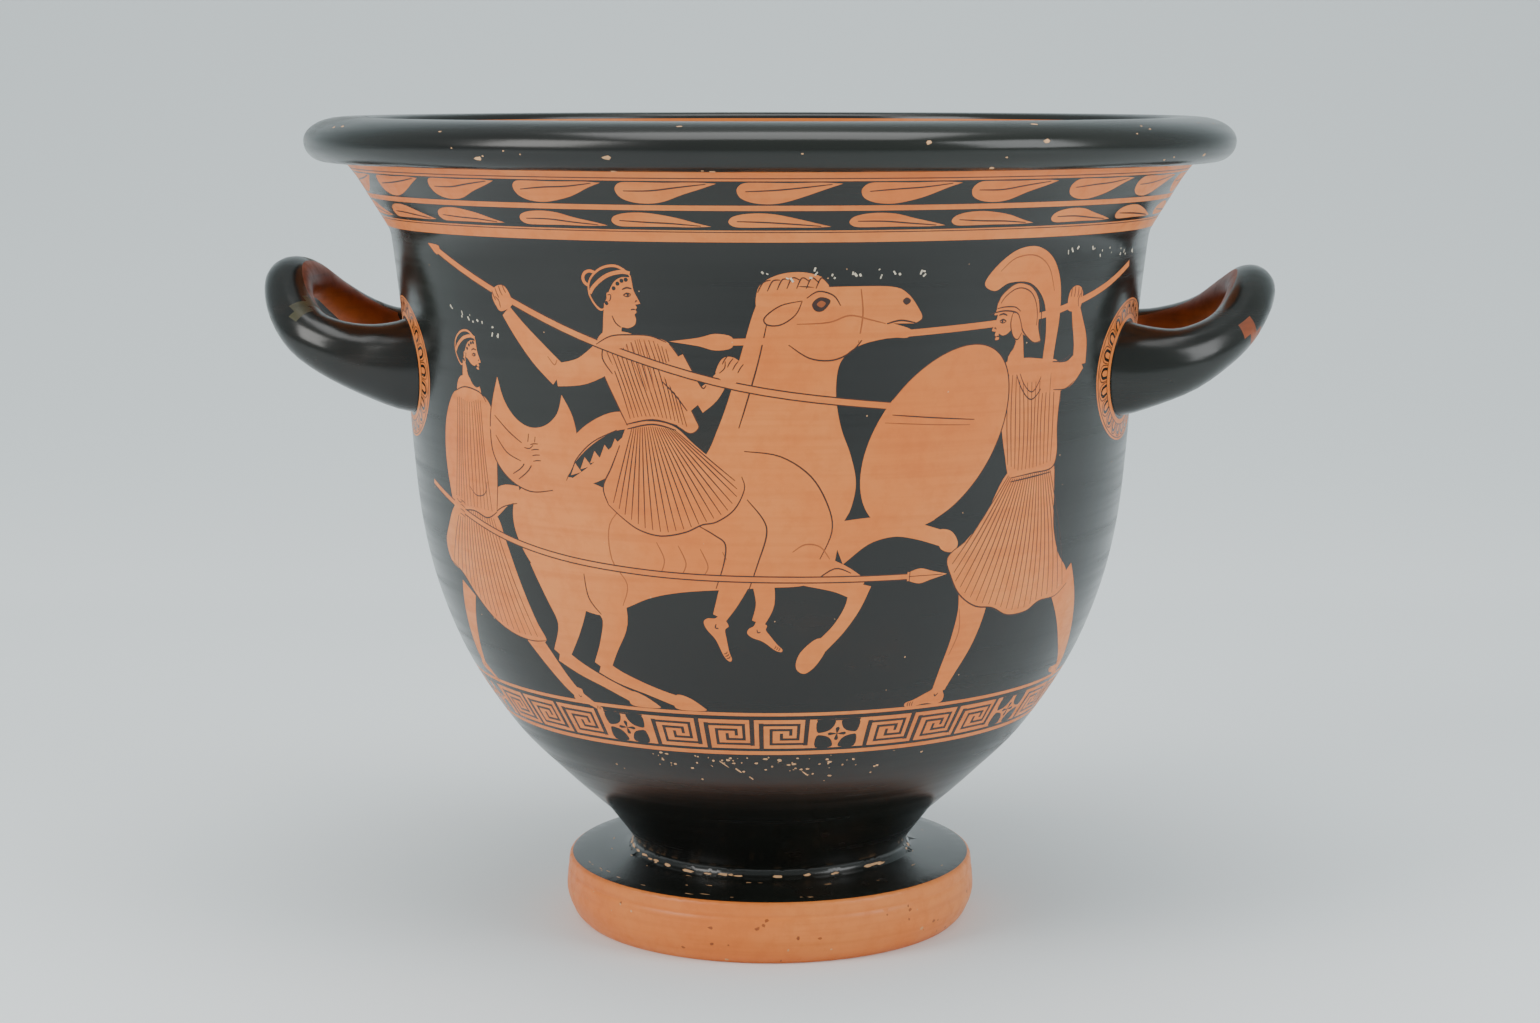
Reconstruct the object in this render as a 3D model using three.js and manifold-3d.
// A bell krater: a wide, wheel-thrown bowl of fired clay for mixing wine and water.
// The bowl, the disc foot and the two upturned loop handles were joined while the clay was
// leather-hard and fired together, so the whole vessel is one solid.
// Millimetres, +Z up. The origin is the centre of the foot's base, and the handles lie along X.
import * as THREE from "three";
import { mergeVertices } from "three/addons/utils/BufferGeometryUtils.js";
import Module from "manifold-3d";

// Driving dimensions.
const vesselHeight = 353.5;
const rimRadius = 200;
const wallThickness = 8;
const turns = 60; // facets round the wheel-thrown body

const foot = {
  height: 27.5, // at the upper outer edge
  radius: 91, // at the fullest part of its side
  topRadius: 89.6,
  baseRadius: 85,
  ringWidth: 12, // the band that it stands on
  hollowHeight: 42, // of the hollow under the stem
  grooveHeight: 21.3,
  grooveDepth: 0.7,
  grooveWidth: 1.6,
};

const stem = { radius: 60.6, bottom: 30, waist: 34, topRadius: 73.6, top: 51.6 };

const lip = {
  thickness: 18.6,
  neckRadius: 183, // where the neck meets its underside
  mouthRadius: 173,
  belowWidest: 8.6, // from its widest circle down to the underside
  crown: 17, // how far in from its widest circle the top levels out
};

const handle = {
  rootAngle: 19.5, // degrees from the X axis to the middle of each root
  leftFrontAngle: 14.2, // but the left loop's front root was set nearer to the axis
  rootDepth: 4.2, // how far a root's end face sits inside the wall
  rootHeight: 249.5,
  leftBackRise: 7, // the left loop's back half curls up this much higher than the right loop
  leftFrontRise: -2.2,
  gripTall: 9.8, // half sizes of the bar at the middle of the loop
  gripWide: 10.4,
  flareTall: 12.2, // what the roots add to them
  flareWide: 9.4,
  flareLength: 84,
  sides: 12,
  steps: 22,
};

const clay = new THREE.MeshStandardMaterial({ color: 0x20221f, roughness: 0.22, metalness: 0 });

const point = (radius, height) => new THREE.Vector2(radius, height);

// Points along a smooth curve through a few given ones, without the last, which the next part starts with.
function smooth(points, divisions) {
  return new THREE.SplineCurve(points).getPoints(divisions).slice(0, -1);
}

// The hollow under the foot, from the axis out to the ring that it stands on, and the foot's side.
function footOutline() {
  const ringInside = foot.baseRadius - foot.ringWidth;
  const hollow = smooth(
    [
      point(0, foot.hollowHeight),
      point(ringInside * 0.48, foot.hollowHeight * 0.93),
      point(ringInside * 0.8, foot.hollowHeight * 0.55),
      point(ringInside * 0.92, foot.hollowHeight * 0.16),
      point(ringInside, 0),
    ],
    6,
  );
  const side = smooth(
    [
      point(foot.baseRadius, 0),
      point(foot.radius * 0.97, foot.height * 0.14),
      point(foot.radius, foot.height * 0.42),
      point(foot.topRadius + 0.9, foot.grooveHeight - foot.grooveWidth / 2),
    ],
    4,
  );
  const groove = [
    point(foot.topRadius + 0.9, foot.grooveHeight - foot.grooveWidth / 2),
    point(foot.topRadius + 0.9 - foot.grooveDepth, foot.grooveHeight),
    point(foot.topRadius + 0.5, foot.grooveHeight + foot.grooveWidth / 2),
  ];
  const upperEdge = [
    point(foot.topRadius + 0.3, foot.height - 1.4),
    point(foot.topRadius - 0.9, foot.height),
  ];
  return [...hollow, point(ringInside, 0), ...side, ...groove, ...upperEdge];
}

// The short stem, from the turned line where it meets the foot up to the crease under the bowl.
function stemOutline() {
  return smooth(
    [
      point(stem.radius + 1.6, stem.bottom),
      point(stem.radius, stem.waist),
      point(stem.radius + 3.7, stem.waist + 5.6),
      point(stem.topRadius, stem.top),
    ],
    5,
  );
}

// The bell of the bowl: radius at each height, up to the bend under the neck.
function bowlOutline() {
  return smooth(
    [
      point(stem.topRadius, stem.top),
      point(83, 60),
      point(93.6, 70),
      point(113, 90),
      point(132.7, 120),
      point(145.2, 150),
      point(152.3, 180),
      point(156, 215),
      point(158.2, 250),
      point(161, 280),
      point(163.6, 303),
    ],
    13,
  );
}

// The neck flares from a soft bend out to the underside of the lip.
function neckOutline(lipUnderside) {
  return smooth(
    [
      point(164.4, 306),
      point(167.6, 311.5),
      point(172.8, 320),
      point(178, 328.5),
      point(lip.neckRadius, lipUnderside),
    ],
    5,
  );
}

// The lip: a tight half-round under its widest circle and a broad crown above, over to the mouth.
function lipOutline(lipUnderside) {
  const widest = lipUnderside + lip.belowWidest;
  const under = new THREE.EllipseCurve(
    rimRadius - lip.belowWidest,
    widest,
    lip.belowWidest,
    lip.belowWidest,
    -Math.PI * 0.46,
    0,
  );
  const crown = new THREE.EllipseCurve(
    rimRadius - lip.crown,
    widest,
    lip.crown,
    vesselHeight - widest,
    0,
    Math.PI / 2,
  );
  return [
    ...under.getPoints(4).slice(0, -1),
    ...crown.getPoints(5),
    point(lip.mouthRadius + 2, vesselHeight - 0.6),
    point(lip.mouthRadius, vesselHeight - 3),
  ];
}

// The inside: the outside moved in by the wall's thickness, then a dished floor to the axis.
function insideOutline(outside) {
  const wall = outside.slice(1, -1).map((here, i) => {
    const along = outside[i + 2].clone().sub(outside[i]).normalize();
    return point(here.x - along.y * wallThickness, here.y + along.x * wallThickness);
  });
  const reachesFloor = wall.filter((p) => p.x < 80).length;
  const side = wall.slice(reachesFloor);
  const floor = smooth([point(0, 54), point(30, 55.2), point(56, 60.4), side[0].clone()], 5);
  return [...floor, ...side].reverse();
}

function bodyGeometry() {
  const lipUnderside = vesselHeight - lip.thickness;
  const bowlAndNeck = [...bowlOutline(), ...neckOutline(lipUnderside)];
  const outline = [
    ...footOutline(),
    ...stemOutline(),
    ...bowlAndNeck,
    ...lipOutline(lipUnderside),
    ...insideOutline(bowlAndNeck),
  ];
  // LatheGeometry turns about Y, so its Y axis is laid on Z.
  return new THREE.LatheGeometry(outline, turns).rotateX(Math.PI / 2);
}

// One half of a loop's middle line, from inside the wall, which it leaves square, to near its tip.
function halfOfLoop(rootAngle, rise) {
  const turn = THREE.MathUtils.degToRad(rootAngle);
  const spread = Math.sin(turn) / Math.sin(THREE.MathUtils.degToRad(handle.rootAngle));
  const rootPlace = (depth) => {
    const radius = 157.8 - depth;
    return [radius * Math.cos(turn), radius * Math.sin(turn), handle.rootHeight];
  };
  // A place on the bar: how far out, how far from the X axis, its share of the spread, and how high.
  const barPlace = (out, aside, share, up) => {
    return [out, aside * (1 + (spread - 1) * share), handle.rootHeight + up];
  };
  return [
    rootPlace(handle.rootDepth),
    rootPlace(-4),
    barPlace(171, 54, 1, 2.4 + rise * 0.1),
    barPlace(184.5, 47.5, 0.7, 7.4 + rise * 0.5),
    barPlace(196.5, 36, 0.3, 14.4 + rise),
    barPlace(206, 19, 0, 24.6 + rise),
  ];
}

// The middle line of a loop, out along +X.
function handleLine(plusAngle, plusRise, minusRise) {
  const plusHalf = halfOfLoop(plusAngle, plusRise);
  const minusHalf = halfOfLoop(handle.rootAngle, minusRise).map(([x, y, z]) => [x, -y, z]);
  const tip = [rimRadius + 9.8, 0, handle.rootHeight + 30 + (plusRise + minusRise) / 2];
  const places = [...minusHalf, tip, ...plusHalf.reverse()];
  const line = places.map((place) => new THREE.Vector3(...place));
  return new THREE.CatmullRomCurve3(line, false, "centripetal");
}

// A straight round bar, bent along the loop and flared towards both roots.
function handleGeometry(line) {
  const length = line.getLength();
  const bar = new THREE.CylinderGeometry(1, 1, 1, handle.sides, handle.steps);
  const places = bar.attributes.position;
  const up = new THREE.Vector3(0, 0, 1);
  for (let i = 0; i < places.count; i++) {
    const t = places.getY(i) + 0.5;
    const fromRoot = Math.min(t, 1 - t) * length;
    const flare = Math.max(0, 1 - fromRoot / handle.flareLength) ** 2.6;
    const along = line.getTangentAt(t);
    const tall = up.clone().addScaledVector(along, -along.dot(up)).normalize();
    const wide = new THREE.Vector3().crossVectors(along, tall);
    const place = line
      .getPointAt(t)
      .addScaledVector(tall, places.getX(i) * (handle.gripTall + handle.flareTall * flare))
      .addScaledVector(wide, -places.getZ(i) * (handle.gripWide + handle.flareWide * flare));
    places.setXYZ(i, place.x, place.y, place.z);
  }
  return bar;
}

const wasm = await Module();
wasm.setup();

function solidOf(geometry) {
  const bare = geometry.clone();
  bare.deleteAttribute("normal");
  bare.deleteAttribute("uv");
  const merged = mergeVertices(bare, 1e-3);
  return new wasm.Manifold(
    new wasm.Mesh({
      numProp: 3,
      vertProperties: merged.attributes.position.array,
      triVerts: new Uint32Array(merged.index.array),
    }),
  );
}

function geometryOf(solid) {
  const mesh = solid.getMesh();
  return new THREE.BufferGeometry()
    .setAttribute("position", new THREE.BufferAttribute(mesh.vertProperties, 3))
    .setIndex(new THREE.BufferAttribute(mesh.triVerts, 1));
}

const rightLine = handleLine(handle.rootAngle, 0, 0);
const leftLine = handleLine(handle.leftFrontAngle, handle.leftFrontRise, handle.leftBackRise);
const rightHandle = solidOf(handleGeometry(rightLine));
const leftHandle = solidOf(handleGeometry(leftLine).rotateZ(Math.PI));
const vessel = solidOf(bodyGeometry()).add(rightHandle).add(leftHandle);

const krater = new THREE.Mesh(geometryOf(vessel), clay);
krater.name = "krater";

const group = new THREE.Group();
group.add(krater);

export default group;
